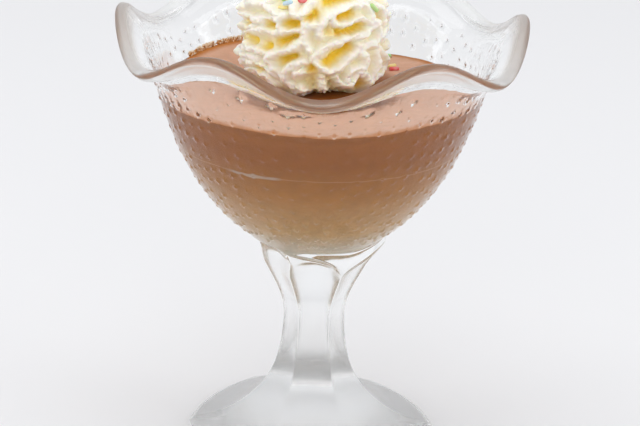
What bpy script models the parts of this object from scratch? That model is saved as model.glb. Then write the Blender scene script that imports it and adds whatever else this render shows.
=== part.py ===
"""Chocolate mousse in a pressed-glass footed dish, topped with a piped swirl of whipped cream.

The dish stands on the origin, +Z up, and one of its six rim dips faces -Y. Lengths are in metres.
"""

import math

import bpy
import numpy as np

# The dish
RIM_HEIGHT = 0.1310          # the middle of the wavy rim above the table
RIM_WAVES = 6
RIM_WAVE_DEPTH = 0.0044      # a crest above that middle, and a dip below it
FRONT_RISE = 0.0011          # how much shallower the front's dip was pressed than the others
FRONT_SPREAD = math.radians(17)
WAVE_START = 0.1120          # the wall is plain up to here
LIP_DROOP = 0.0018           # how much further the lip's outer edge is turned down at a dip
LIP_START = 0.0560           # the radius at which that turning down begins
LIP_TURN = 0.0040            # and the width over which it grows
FOOT_RADIUS = 0.0378
FOOT_TOP = 0.0034            # where the foot's edge rounds over into its upper side
FOOT_FLATTENING = 0.045      # how far the foot's six sides come in, as a share of its radius
FLUTES = 6
FLUTE_DEPTH = 0.165          # at the middle of a flute, as a share of the arris's radius
FLUTE_ENDS = 0.0180          # below this the flute opens into a petal of the foot
FLUTE_OPENING = 1.4          # how suddenly it does so
ARCH_START = 0.0460          # above this the stem's rows bend up to follow the arches
ARCH_LOW = 0.0570            # the flutes' arched tops: at the two arrises on the mould's seam
ARCH_HIGH = 0.0645           # and at the other four
ARCH_RISE = 0.0028           # of the middle of an arch above a line between its ends
ARCH_SCOOP = 0.0030          # the length over which a flute runs out below its arch
ROOT_LEAN = 0.0014           # how far the bowl's root is pressed off the stem's centre, along +X
LEAN_START = 0.0560
LEAN_LENGTH = 0.0060
ROOT_RADIUS = 0.0208         # where the stem's flare ends and the bowl begins
ROOT_HEIGHT = 0.0668
BOWL_BOTTOM = 0.0664         # the middle of the bowl's inner side

# The filling
MOUSSE_LEVEL = 0.1110        # in the middle
MOUSSE_TILT = 0.0174         # how much it rises for each metre towards the front
MOUSSE_CLIMB = 0.0030        # how far the mousse is smeared up the wall
CLIMB_ANGLE = math.radians(128)
CLIMB_SPREAD = math.radians(38)
CLIMB_START = 0.0300         # the smear begins this far out, and is full this much further
CLIMB_LENGTH = 0.0160
SWELL = 0.0005               # unevenness of the surface
SWELL_CLEAR = 0.0240         # it is smooth this far round the cream, and uneven beyond
SWELL_LENGTH = 0.0120
SIDE_TOP = 0.0018            # the side's rings stop this far under the level, and the edge follows
GAP = 0.0003                 # between pieces that touch

# The cream
CREAM_PLACE = (-0.0020, 0.0085)
CREAM_RADIUS = 0.0222
CREAM_HEIGHT = 0.0460
CREAM_PEAK = 0.0012          # the drawn-out point on top of that
CREAM_TIERS = 3.3            # turns of the piped rope from the bottom to the peak
CREAM_RIDGES = 11            # ridges that the star nozzle leaves, counted once round
RIDGE_DEPTH = 0.0036
RIDGE_LEAN = 3.4             # radians that a ridge runs round the swirl on its way up
ROPE_GROOVE = 0.07           # depth between two turns of the rope, as a share of the radius
ROPE_SAG = 0.0010

COLUMNS = 48                 # round the dish and the mousse
CREAM_COLUMNS = 6 * CREAM_RIDGES


def smooth_step(value):
    value = np.clip(value, 0.0, 1.0)
    return value * value * (3.0 - 2.0 * value)


def curve_through(points, steps):
    """A smooth line through the points (Catmull-Rom), with this many steps between neighbours."""
    points = np.array(points, float)
    padded = np.vstack([2 * points[0] - points[1], points, 2 * points[-1] - points[-2]])
    share = np.linspace(0.0, 1.0, steps, endpoint=False)[:, None]
    pieces = []
    for before, start, end, after in zip(padded, padded[1:], padded[2:], padded[3:]):
        pieces.append(0.5 * (2 * start + (end - before) * share
                             + (2 * before - 5 * start + 4 * end - after) * share**2
                             + (3 * start - before - 3 * end + after) * share**3))
    return np.vstack(pieces + [points[-1:]])


def angles(columns):
    return np.arange(columns) * (2 * math.pi / columns)


def round_ring(radius, height, columns):
    angle = angles(columns)
    return np.stack([radius * np.cos(angle), radius * np.sin(angle), np.full(columns, height)], 1)


def closed_body(name, rings, first_pole, last_pole, finish):
    """One closed mesh from a stack of rings, each end closed by a fan round its pole."""
    columns = len(rings[0])
    points = [first_pole] + [tuple(point) for ring in rings for point in ring] + [last_pole]
    faces = []
    last = len(points) - 1
    for column in range(columns):
        beside = (column + 1) % columns
        faces.append((0, 1 + beside, 1 + column))
        for row in range(len(rings) - 1):
            lower = 1 + row * columns
            upper = lower + columns
            faces.append((lower + column, lower + beside, upper + beside, upper + column))
        top = 1 + (len(rings) - 1) * columns
        faces.append((top + column, top + beside, last))
    mesh = bpy.data.meshes.new(name)
    mesh.from_pydata(points, [], faces)
    mesh.shade_smooth()
    mesh.set_sharp_from_angle(angle=math.radians(34))
    body = bpy.data.objects.new(name, mesh)
    bpy.context.scene.collection.objects.link(body)
    mesh.materials.append(finish)
    return body


def finish(name, colour, roughness, transmission=0.0):
    material = bpy.data.materials.new(name)
    material.use_nodes = True
    shader = material.node_tree.nodes["Principled BSDF"]
    shader.inputs["Base Color"].default_value = (*colour, 1.0)
    shader.inputs["Roughness"].default_value = roughness
    shader.inputs["Metallic"].default_value = 0.0
    shader.inputs["Transmission Weight"].default_value = transmission
    return material


# ---------------------------------------------------------------- the glass dish

def stem_profile():
    """Radius and height of an arris, from the foot's edge up to where the flare meets the bowl."""
    return curve_through([
        (0.0362, FOOT_TOP), (0.0265, 0.0066), (0.0175, 0.0133), (0.0117, 0.0225),
        (0.0094, 0.0350), (0.0102, 0.0450), (0.0160, ARCH_LOW), (ROOT_RADIUS, ROOT_HEIGHT),
    ], 2)


def bowl_outside():
    """Radius and height of the bowl's outer wall, from the root up to the rolled lip's top."""
    return curve_through([
        (ROOT_RADIUS, ROOT_HEIGHT), (0.0304, 0.0757), (0.0396, 0.0888), (0.0458, 0.1030),
        (0.0519, 0.1205), (0.0586, 0.1268), (0.0609, 0.1290), (0.0600, 0.1308),
    ], 2)


def bowl_inside():
    """Radius and height of the bowl's inner wall, from the lip's top down to near the middle."""
    return curve_through([
        (0.0582, 0.1306), (0.0562, 0.1286), (0.0497, 0.1218), (0.0466, 0.1130), (0.0403, 0.0960),
        (0.0317, 0.0806), (0.0200, 0.0716), (0.0060, 0.0668),
    ], 2)


def flat_share(angle):
    """How far an angle is from its arris, 0, to the middle of its flute, 1, on a flat-sided stem."""
    half = math.pi / FLUTES
    off_middle = (angle % (2 * half)) - half
    return (1 - math.cos(half) / np.cos(off_middle)) / (1 - math.cos(half))


def arch_height(angle):
    """The height of the flutes' arched tops. Two opposite arrises, on the seam, carry low points."""
    turn = angle / (2 * math.pi) * FLUTES
    along = turn % 1.0
    left = np.floor(turn).astype(int) % FLUTES
    heights = np.full(FLUTES, ARCH_HIGH)
    heights[[2, 5]] = ARCH_LOW
    line = heights[left] * (1 - along) + heights[(left + 1) % FLUTES] * along
    return line + ARCH_RISE * np.sin(math.pi * along)


def flute_depth(height):
    """The flutes are full on the stem and open into nearly round petals towards the foot's edge."""
    on_foot = np.clip((height - FOOT_TOP) / (FLUTE_ENDS - FOOT_TOP), 0.0, 1.0)
    return FOOT_FLATTENING + (FLUTE_DEPTH - FOOT_FLATTENING) * on_foot**FLUTE_OPENING


def fluted_ring(radius, height):
    """A ring of the foot or the stem. Near the top its points slide so that rows follow the arches."""
    angle = angles(COLUMNS)
    slide = smooth_step((height - ARCH_START) / (ARCH_LOW - ARCH_START))
    heights = height + slide * (arch_height(angle) - ARCH_LOW)
    run_out = np.sqrt(np.clip((arch_height(angle) - heights) / ARCH_SCOOP, 0.0, 1.0))
    flare = np.interp(heights, ARRIS[:, 1], ARRIS[:, 0]) if height > ARCH_START else radius
    radii = flare * (1 - flute_depth(height) * flat_share(angle) * run_out)
    lean = ROOT_LEAN * smooth_step((heights - LEAN_START) / LEAN_LENGTH)
    return np.stack([radii * np.cos(angle) + lean, radii * np.sin(angle), heights], 1)


def root_ring(share):
    """A ring between the arches, share 0, and the line where the root meets the bowl, share 1."""
    angle = angles(COLUMNS)
    heights = arch_height(angle) * (1 - share) + ROOT_HEIGHT * share
    radii = np.interp(heights, ARRIS[:, 1], ARRIS[:, 0])
    lean = ROOT_LEAN * (1 - share)
    return np.stack([radii * np.cos(angle) + lean, radii * np.sin(angle), heights], 1)


def wavy_ring(radius, height, columns=COLUMNS):
    """A ring of the bowl, lifted and dropped by the rim's waves the nearer it is to the rim."""
    ring = round_ring(radius, height, columns)
    angle = angles(columns)
    wave = np.cos(RIM_WAVES * angle)
    from_front = (angle + 1.5 * math.pi) % (2 * math.pi) - math.pi
    front = FRONT_RISE * np.exp(-((from_front / FRONT_SPREAD) ** 2))
    share = smooth_step((height - WAVE_START) / (RIM_HEIGHT - WAVE_START))
    droop = LIP_DROOP * smooth_step((radius - LIP_START) / LIP_TURN) * (0.5 - 0.5 * wave)
    ring[:, 2] += share * (RIM_WAVE_DEPTH * wave + front) - droop
    return ring


ARRIS = stem_profile()


def foot_edge_ring(radius_share, height):
    angle = angles(COLUMNS)
    radii = FOOT_RADIUS * radius_share * (1 - FOOT_FLATTENING * flat_share(angle))
    return np.stack([radii * np.cos(angle), radii * np.sin(angle), np.full(COLUMNS, height)], 1)


def make_dish():
    rings = [foot_edge_ring(share, height) for share, height in
             ((0.50, 0.0), (0.945, 0.0), (0.985, 0.0006), (1.0, 0.0018), (0.99, 0.0028))]
    rings += [fluted_ring(radius, height) for radius, height in ARRIS if height <= ARCH_LOW]
    rings += [root_ring(share) for share in (0.34, 0.67)]
    rings += [wavy_ring(radius, height) for radius, height in bowl_outside()]
    rings += [wavy_ring(radius, height) for radius, height in bowl_inside()]
    glass = finish("clear_pressed_glass", (0.93, 0.95, 0.95), 0.03, transmission=0.95)
    return closed_body("glass_dish", rings, (0.0, 0.0, 0.0), (0.0, 0.0, BOWL_BOTTOM), glass)


# ---------------------------------------------------------------- the mousse

def mousse_top(x, y):
    """The surface: set nearly level, smeared up the wall on one side, and a little uneven."""
    off = (np.arctan2(y, x) - CLIMB_ANGLE + math.pi) % (2 * math.pi) - math.pi
    outward = smooth_step((np.hypot(x, y) - CLIMB_START) / CLIMB_LENGTH)
    climb = MOUSSE_CLIMB * np.exp(-((off / CLIMB_SPREAD) ** 2)) * outward
    from_cream = np.hypot(x - CREAM_PLACE[0], y - CREAM_PLACE[1])
    beyond = smooth_step((from_cream - SWELL_CLEAR) / SWELL_LENGTH)
    swell = SWELL * np.sin(95 * x + 1.0) * np.cos(80 * y) * beyond
    return MOUSSE_LEVEL - MOUSSE_TILT * y + climb + swell


def make_mousse():
    inside = bowl_inside()[::-1]
    side = inside[inside[:, 1] < MOUSSE_LEVEL - SIDE_TOP]
    rings = [round_ring(radius - GAP, height + GAP, COLUMNS) for radius, height in side]
    for share in (1.0, 0.94, 0.82, 0.62, 0.36):
        ring = round_ring(np.interp(MOUSSE_LEVEL, inside[:, 1], inside[:, 0]) - GAP, 0, COLUMNS)
        if share == 1.0:
            level = mousse_top(ring[:, 0], ring[:, 1])
            wall = np.interp(level, inside[:, 1], inside[:, 0]) - GAP
            ring *= (wall / np.hypot(ring[:, 0], ring[:, 1]))[:, None]
            ring[:, 2] = level
        else:
            ring *= share
            ring[:, 2] = mousse_top(ring[:, 0], ring[:, 1])
        rings.append(ring)
    middle = float(mousse_top(np.array(0.0), np.array(0.0)))
    brown = finish("chocolate_mousse", (0.26, 0.115, 0.045), 0.5)
    bottom = (0.0, 0.0, BOWL_BOTTOM + GAP)
    return closed_body("mousse", rings, bottom, (0.0, 0.0, middle), brown)


# ---------------------------------------------------------------- the whipped cream

def cream_base(y):
    """The height of the swirl's underside, which lies on the tilted mousse."""
    return MOUSSE_LEVEL - MOUSSE_TILT * y + GAP


def cream_ring(share):
    """A ring of the swirl at this share of its height. Its points lean round with the ridges."""
    start = angles(CREAM_COLUMNS)
    angle = start + RIDGE_LEAN * share
    outline = np.interp(share, [0.0, 0.06, 0.18, 0.55, 0.72, 0.88, 0.97, 1.0],
                        [0.78, 0.93, 1.0, 0.93, 0.70, 0.36, 0.15, 0.10])
    turn = CREAM_TIERS * share - angle / (2 * math.pi)
    rope = np.abs(np.sin(math.pi * turn)) ** 0.7
    ridge = (0.5 + 0.5 * np.cos(CREAM_RIDGES * start)) ** 0.7
    groove = 1 - ROPE_GROOVE * (1 - rope)
    radii = CREAM_RADIUS * outline * groove - RIDGE_DEPTH * outline * (1 - ridge)
    sag = ROPE_SAG * (rope - 0.5) * smooth_step(share / 0.15) * smooth_step((1 - share) / 0.1)
    x = CREAM_PLACE[0] + radii * np.cos(angle)
    y = CREAM_PLACE[1] + radii * np.sin(angle)
    return np.stack([x, y, cream_base(y) + share * CREAM_HEIGHT + sag], 1)


def make_cream():
    shares = np.concatenate([[0.0], np.linspace(0.03, 1.0, 25)])
    rings = [cream_ring(share) for share in shares]
    base = cream_base(CREAM_PLACE[1])
    cream = finish("whipped_cream", (0.86, 0.80, 0.66), 0.55)
    bottom = (*CREAM_PLACE, base)
    peak = (*CREAM_PLACE, base + CREAM_HEIGHT + CREAM_PEAK)
    return closed_body("whipped_cream", rings, bottom, peak, cream)


for leftover in list(bpy.data.objects):
    bpy.data.objects.remove(leftover, do_unlink=True)

make_dish()
make_mousse()
make_cream()
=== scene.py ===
import math

import bpy
import numpy as np
from mathutils import Matrix, Vector
from mathutils.bvhtree import BVHTree


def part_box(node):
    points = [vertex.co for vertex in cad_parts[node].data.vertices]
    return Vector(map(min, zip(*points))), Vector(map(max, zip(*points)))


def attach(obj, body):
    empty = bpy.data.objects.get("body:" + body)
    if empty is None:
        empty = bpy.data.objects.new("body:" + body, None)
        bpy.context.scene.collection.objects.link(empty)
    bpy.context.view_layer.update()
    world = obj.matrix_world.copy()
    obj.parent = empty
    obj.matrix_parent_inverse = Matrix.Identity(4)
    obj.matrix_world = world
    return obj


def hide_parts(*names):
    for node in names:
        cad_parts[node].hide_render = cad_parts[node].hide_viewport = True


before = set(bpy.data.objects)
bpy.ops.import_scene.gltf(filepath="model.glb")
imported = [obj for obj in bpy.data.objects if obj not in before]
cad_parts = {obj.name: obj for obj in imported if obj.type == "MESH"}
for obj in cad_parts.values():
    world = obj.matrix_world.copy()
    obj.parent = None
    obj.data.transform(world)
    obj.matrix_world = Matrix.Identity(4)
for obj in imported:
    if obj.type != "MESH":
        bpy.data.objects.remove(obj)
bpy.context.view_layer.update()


# ---------------------------------------------------------------- the glass dish
# Clear soda glass pressed in one piece: a foot of six petals, a six-sided stem and a bowl with a
# waved, rolled lip. The mould leaves strings of small drops, with fine ridges between, on the wall.

dish_low, dish_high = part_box("glass_dish")
RIM_WAVES = 6
RIM_WAVE_DEPTH = 0.0044
FRONT_RISE = 0.0011         # how much shallower the front's dip was pressed than the others
FRONT_SPREAD = math.radians(17)
RIM_HEIGHT = dish_high.z - RIM_WAVE_DEPTH
WAVE_START = 0.1120
LIP_DROOP = 0.0018
LIP_START = 0.0560
LIP_TURN = 0.0040
FOOT_RADIUS = 0.0378
FOOT_TOP = 0.0034
FOOT_FLATTENING = 0.045
FLUTES = 6
FLUTE_DEPTH = 0.165
FLUTE_ENDS = 0.0180
SLIDE_START = 0.0460
ARCH_LOW = 0.0570
ARCH_HIGH = 0.0645
ARCH_RISE = 0.0028
ARCH_SCOOP = 0.0030
LEAN_START = 0.0560
LEAN_LENGTH = 0.0060
ROOT_LEAN = 0.0014
ROOT = (0.0208, 0.0668)
BOWL_BOTTOM = 0.0664

STRINGS = 72                # of drops round the bowl
DROP_RADIUS = 0.00062
DROP_HEIGHT = 0.00048       # at the front and the back
SIDE_DROPS = 0.45           # share of it at the sides, where the mould's halves draw off the drops
STRING_OFFSETS = (0.00064, 0.00040)
ROW_PITCH = 0.00063
FIRST_DROP = 0.0700         # the drops' lowest and highest places on the wall
LAST_DROP = 0.1218
STRING_RIDGE = 0.00004
WALL_GLOSS = 0.015
STEM_SATIN = 0.26           # roughness of the stem and foot, which come duller out of the mould
LIP_SATIN = 0.30            # and of the lip, where the rim was rolled over
WALL_TINT = (0.995, 1.0, 0.995)
LIP_TINT = (0.97, 0.98, 0.96)
SIDE_LIP_PAINTED_SHADE = (0.70, 0.62, 0.55)  # painted shade: the lip, seen thickest at the left and right, is coloured darker there for the darker view its bead refracts
UNDERSIDE_SATIN = 0.10      # the foot's underside is ground flat


def smooth_step(value):
    value = np.clip(value, 0.0, 1.0)
    return value * value * (3.0 - 2.0 * value)


def curve_through(points, steps):
    """A smooth line through the points (Catmull-Rom), with this many steps between neighbours."""
    points = np.array(points, float)
    padded = np.vstack([2 * points[0] - points[1], points, 2 * points[-1] - points[-2]])
    share = np.linspace(0.0, 1.0, steps, endpoint=False)[:, None]
    pieces = []
    for before, start, end, after in zip(padded, padded[1:], padded[2:], padded[3:]):
        pieces.append(0.5 * (2 * start + (end - before) * share
                             + (2 * before - 5 * start + 4 * end - after) * share**2
                             + (3 * start - before - 3 * end + after) * share**3))
    return np.vstack(pieces + [points[-1:]])


def along_line(line, pitch):
    """The line's points spread evenly, this far apart."""
    length = np.concatenate([[0.0], np.cumsum(np.hypot(*np.diff(line, axis=0).T))])
    places = np.linspace(0.0, length[-1], int(round(length[-1] / pitch)) + 1)
    return np.stack([np.interp(places, length, line[:, 0]), np.interp(places, length, line[:, 1])], 1)


def string_angles(radius):
    """The columns at this radius: one down each string of drops, two close on each side, one between."""
    pitch = 2 * math.pi / STRINGS
    outer = min(STRING_OFFSETS[0] / radius, 0.34 * pitch)
    inner = min(STRING_OFFSETS[1] / radius, 0.17 * pitch)
    beside = np.array([-outer, -inner, 0.0, inner, outer, pitch / 2])
    return (np.arange(STRINGS)[:, None] * pitch + beside[None, :]).ravel()


def flat_share(angle):
    """How far an angle is from its arris, 0, to the middle of its flute, 1, on a flat-sided stem."""
    half = math.pi / FLUTES
    off_middle = (angle % (2 * half)) - half
    return (1 - math.cos(half) / np.cos(off_middle)) / (1 - math.cos(half))


def arch_height(angle):
    """The height of the flutes' arched tops. Two opposite arrises carry low points."""
    turn = (angle % (2 * math.pi)) / (2 * math.pi) * FLUTES
    along = turn % 1.0
    left = np.floor(turn).astype(int) % FLUTES
    heights = np.full(FLUTES, ARCH_HIGH)
    heights[[2, 5]] = ARCH_LOW
    line = heights[left] * (1 - along) + heights[(left + 1) % FLUTES] * along
    return line + ARCH_RISE * np.sin(math.pi * along)


arris = curve_through([
    (0.0362, FOOT_TOP), (0.0265, 0.0066), (0.0175, 0.0133), (0.0117, 0.0225), (0.0094, 0.0350),
    (0.0102, 0.0450), (0.0160, ARCH_LOW), ROOT,
], 12)


inner_wall = curve_through([
    (0.0582, 0.1306), (0.0562, 0.1286), (0.0497, 0.1218), (0.0466, 0.1130), (0.0403, 0.0960),
    (0.0317, 0.0806), (0.0200, 0.0716), (0.0060, 0.0668),
], 5)


def ring_at(angle, radii, heights, lean=0.0):
    heights = np.broadcast_to(heights, angle.shape)
    return np.stack([radii * np.cos(angle) + lean, radii * np.sin(angle), heights], 1)


def foot_edge_ring(share, height):
    angle = string_angles(FOOT_RADIUS * share)
    return ring_at(angle, FOOT_RADIUS * share * (1 - FOOT_FLATTENING * flat_share(angle)), height)


def fluted_ring(radius, height):
    """A ring of the foot or the stem. Near the top its points slide so that rows follow the arches."""
    angle = string_angles(radius)
    on_foot = np.clip((height - FOOT_TOP) / (FLUTE_ENDS - FOOT_TOP), 0.0, 1.0)
    depth = FOOT_FLATTENING + (FLUTE_DEPTH - FOOT_FLATTENING) * on_foot**1.4
    slide = smooth_step((height - SLIDE_START) / (ARCH_LOW - SLIDE_START))
    heights = height + slide * (arch_height(angle) - ARCH_LOW)
    run_out = np.sqrt(np.clip((arch_height(angle) - heights) / ARCH_SCOOP, 0.0, 1.0))
    flare = np.interp(heights, arris[:, 1], arris[:, 0]) if height > SLIDE_START else radius
    lean = ROOT_LEAN * smooth_step((heights - LEAN_START) / LEAN_LENGTH)
    return ring_at(angle, flare * (1 - depth * flat_share(angle) * run_out), heights, lean)


def root_ring(share):
    """A ring between the arches, share 0, and the line where the root meets the bowl, share 1."""
    angle = string_angles(ROOT[0])
    heights = arch_height(angle) * (1 - share) + ROOT[1] * share
    radii = np.interp(heights, arris[:, 1], arris[:, 0])
    return ring_at(angle, radii, heights, ROOT_LEAN * (1 - share))


def waved(angle, radii, heights):
    """Points of the bowl, lifted and dropped by the rim's waves the nearer they are to the rim."""
    wave = np.cos(RIM_WAVES * angle)
    from_front = (angle + 1.5 * math.pi) % (2 * math.pi) - math.pi
    front = FRONT_RISE * np.exp(-((from_front / FRONT_SPREAD) ** 2))
    share = smooth_step((heights - WAVE_START) / (RIM_HEIGHT - WAVE_START))
    droop = LIP_DROOP * smooth_step((radii - LIP_START) / LIP_TURN) * (0.5 - 0.5 * wave)
    return heights + share * (RIM_WAVE_DEPTH * wave + front) - droop


def drop_rows(wall, random):
    """For every string, where its rows lie along the wall, and how far each point stands out."""
    rows = len(wall)
    first = int(np.argmax(wall[:, 1] > FIRST_DROP))
    last = int(np.argmax(wall[:, 1] > LAST_DROP))
    slide = np.zeros((rows, STRINGS, 6))
    rise = np.zeros((rows, STRINGS, 6))
    across = np.array([STRING_OFFSETS[0], STRING_OFFSETS[1], 0.0, STRING_OFFSETS[1], STRING_OFFSETS[0]])
    for string in range(STRINGS):
        facing = math.sin(2 * math.pi * string / STRINGS) ** 2
        height = DROP_HEIGHT * (SIDE_DROPS + (1 - SIDE_DROPS) * facing)
        row = first + random.integers(0, 7)
        while row < last:
            size = random.uniform(0.82, 1.12)
            if random.random() < 0.88:
                for step, place in ((-2, -0.00064), (-1, -0.00040), (0, 0.0), (1, 0.00040), (2, 0.00064)):
                    slide[row + step, string, :5] = place - step * ROW_PITCH
                    off = np.hypot(across, place) / (DROP_RADIUS * size)
                    dome = height * size * np.sqrt(np.clip(1 - off**2, 0.0, 1.0))
                    rise[row + step, string, :5] = np.maximum(rise[row + step, string, :5], dome)
                if random.random() < 0.6:
                    length = random.integers(4, 14)
                    ends = np.arange(row, min(row + length, last))
                    fade = 1 - (ends - row) / length
                    rise[ends, string, 2] = np.maximum(rise[ends, string, 2], STRING_RIDGE * fade**0.5)
            row += random.integers(6, 10)
    return slide.reshape(rows, -1), rise.reshape(rows, -1)


def wall_rings(wall, slide, rise):
    """Rings of the outer wall with its drops raised along the wall's own normal."""
    length = np.arange(len(wall)) * np.hypot(*(wall[1] - wall[0]))
    tangent = np.gradient(wall, axis=0)
    tangent /= np.hypot(tangent[:, 0], tangent[:, 1])[:, None]
    rings = []
    for row, (radius, height) in enumerate(wall):
        place = length[row] + slide[row]
        radii = np.interp(place, length, wall[:, 0]) + rise[row] * tangent[row, 1]
        heights = np.interp(place, length, wall[:, 1]) - rise[row] * tangent[row, 0]
        angle = string_angles(radius)
        rings.append(ring_at(angle, radii, waved(angle, radii, heights)))
    return rings


def plain_rings(line):
    rings = []
    for radius, height in line:
        angle = string_angles(radius)
        heights = waved(angle, radius, np.full(angle.shape, height))
        rings.append(ring_at(angle, radius, heights))
    return rings


def closed_body(name, rings, first_pole, last_pole):
    """One closed mesh from a stack of rings, each end closed by a fan round its pole."""
    rings = np.array(rings)
    rows, columns = rings.shape[:2]
    points = np.vstack([[first_pole], rings.reshape(-1, 3), [last_pole]])
    column = np.arange(columns)
    beside = (column + 1) % columns
    lower = 1 + np.arange(rows - 1)[:, None] * columns
    quads = np.stack([lower + column, lower + beside, lower + columns + beside, lower + columns + column], 2)
    top = 1 + (rows - 1) * columns
    fans = [np.stack([np.zeros(columns, int), 1 + beside, 1 + column], 1),
            np.stack([top + column, top + beside, np.full(columns, len(points) - 1)], 1)]
    faces = quads.reshape(-1, 4).tolist() + np.vstack(fans).tolist()
    mesh = bpy.data.meshes.new(name)
    mesh.from_pydata(points.tolist(), [], faces)
    mesh.shade_smooth()
    body = bpy.data.objects.new(name, mesh)
    bpy.context.scene.collection.objects.link(body)
    return body


def make_dish():
    random = np.random.default_rng(7)
    outside = along_line(curve_through([
        ROOT, (0.0304, 0.0757), (0.0396, 0.0888), (0.0458, 0.1030), (0.0519, 0.1205), (0.0586, 0.1268),
    ], 12), ROW_PITCH)
    lip = curve_through([(0.0586, 0.1268), (0.0609, 0.1290), (0.0600, 0.1308), (0.0582, 0.1306)], 4)[1:]
    slide, rise = drop_rows(outside, random)
    stem = along_line(arris[arris[:, 1] <= ARCH_LOW - 0.0036], 0.0014)
    for below in (0.0030, 0.0022, 0.0015, 0.0009, 0.0005, 0.0002, 0.0):
        height = ARCH_LOW - below
        stem = np.vstack([stem, [np.interp(height, arris[:, 1], arris[:, 0]), height]])
    rings = [foot_edge_ring(share, height) for share, height in
             ((0.50, 0.0), (0.945, 0.0), (0.985, 0.0006), (1.0, 0.0018), (0.99, 0.0028))]
    rings += [fluted_ring(radius, height) for radius, height in stem]
    rings += [root_ring(share) for share in (0.25, 0.5, 0.75)]
    rings += wall_rings(outside, slide, rise)
    rings += plain_rings(lip)
    rings += plain_rings(inner_wall[1:])
    return closed_body("pressed_glass_dish", rings, (0.0, 0.0, 0.0), (0.0, 0.0, BOWL_BOTTOM))


def clear_glass():
    """Clear glass, with the faint waviness that a pressed surface keeps from the mould."""
    material = bpy.data.materials.new("clear_pressed_glass")
    material.use_nodes = True
    nodes, links = material.node_tree.nodes, material.node_tree.links
    shader = nodes["Principled BSDF"]
    shader.inputs["IOR"].default_value = 1.50
    shader.inputs["Transmission Weight"].default_value = 1.0
    place = nodes.new("ShaderNodeTexCoord")
    chill = nodes.new("ShaderNodeTexNoise")
    chill.inputs["Scale"].default_value = 160.0
    chill.inputs["Detail"].default_value = 2.0
    links.new(place.outputs["Object"], chill.inputs["Vector"])
    bump = nodes.new("ShaderNodeBump")
    bump.inputs["Strength"].default_value = 0.12
    bump.inputs["Distance"].default_value = 0.0006
    links.new(chill.outputs["Fac"], bump.inputs["Height"])
    links.new(bump.outputs["Normal"], shader.inputs["Normal"])
    split = nodes.new("ShaderNodeSeparateXYZ")
    links.new(place.outputs["Object"], split.inputs["Vector"])
    satin = nodes.new("ShaderNodeMapRange")
    satin.interpolation_type = "SMOOTHSTEP"
    satin.inputs["From Min"].default_value = ROOT[1]
    satin.inputs["From Max"].default_value = ARCH_LOW
    satin.inputs["To Min"].default_value = WALL_GLOSS
    satin.inputs["To Max"].default_value = STEM_SATIN
    links.new(split.outputs["Z"], satin.inputs["Value"])
    across = nodes.new("ShaderNodeCombineXYZ")
    links.new(split.outputs["X"], across.inputs["X"])
    links.new(split.outputs["Y"], across.inputs["Y"])
    radius = nodes.new("ShaderNodeVectorMath")
    radius.operation = "LENGTH"
    links.new(across.outputs["Vector"], radius.inputs[0])
    lip = nodes.new("ShaderNodeMapRange")
    lip.interpolation_type = "SMOOTHSTEP"
    lip.inputs["From Min"].default_value = LIP_START
    lip.inputs["From Max"].default_value = LIP_START + 0.5 * LIP_TURN
    lip.inputs["To Min"].default_value = 0.0
    lip.inputs["To Max"].default_value = LIP_SATIN
    links.new(radius.outputs["Value"], lip.inputs["Value"])
    ground = nodes.new("ShaderNodeMapRange")
    ground.inputs["From Min"].default_value = 0.0004
    ground.inputs["From Max"].default_value = 0.0001
    ground.inputs["To Max"].default_value = UNDERSIDE_SATIN
    links.new(split.outputs["Z"], ground.inputs["Value"])
    duller = nodes.new("ShaderNodeMath")
    duller.operation = "ADD"
    links.new(satin.outputs["Result"], duller.inputs[0])
    links.new(lip.outputs["Result"], duller.inputs[1])
    dullest = nodes.new("ShaderNodeMath")
    dullest.operation = "ADD"
    links.new(duller.outputs["Value"], dullest.inputs[0])
    links.new(ground.outputs["Result"], dullest.inputs[1])
    links.new(dullest.outputs["Value"], shader.inputs["Roughness"])
    thick = nodes.new("ShaderNodeValToRGB")
    thick.color_ramp.elements[0].position = 0.0
    thick.color_ramp.elements[0].color = (*WALL_TINT, 1)
    thick.color_ramp.elements[1].color = (*LIP_TINT, 1)
    rolled = nodes.new("ShaderNodeMapRange")
    rolled.inputs["From Min"].default_value = LIP_START
    rolled.inputs["From Max"].default_value = LIP_START + 0.5 * LIP_TURN
    links.new(radius.outputs["Value"], rolled.inputs["Value"])
    links.new(rolled.outputs["Result"], thick.inputs["Fac"])
    # painted shade: the lip's left and right ends are tinted darker and browner, for the darker view the thick bead
    # refracts there
    sideways = nodes.new("ShaderNodeMath")
    sideways.operation = "ABSOLUTE"
    links.new(split.outputs["X"], sideways.inputs[0])
    at_side = nodes.new("ShaderNodeMapRange")
    at_side.interpolation_type = "SMOOTHSTEP"
    at_side.inputs["From Min"].default_value = 0.0480
    at_side.inputs["From Max"].default_value = 0.0585
    links.new(sideways.outputs["Value"], at_side.inputs["Value"])
    painted_side_shade = nodes.new("ShaderNodeMath")
    painted_side_shade.operation = "MULTIPLY"
    links.new(at_side.outputs["Result"], painted_side_shade.inputs[0])
    links.new(rolled.outputs["Result"], painted_side_shade.inputs[1])
    tint = nodes.new("ShaderNodeMix")
    tint.data_type = "RGBA"
    tint.inputs["B"].default_value = (*SIDE_LIP_PAINTED_SHADE, 1)
    links.new(painted_side_shade.outputs["Value"], tint.inputs["Factor"])
    links.new(thick.outputs["Color"], tint.inputs["A"])
    links.new(tint.outputs["Result"], shader.inputs["Base Color"])
    return material


dish = make_dish()
dish.data.materials.append(clear_glass())
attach(dish, "root")
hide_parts("glass_dish")


# ---------------------------------------------------------------- the mousse
# Aerated chocolate mousse, poured into the dish in two goes and set. It wets the wall, so its side
# reaches just into the glass. The top is dry and paler, and is smeared up the wall at the back.

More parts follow.
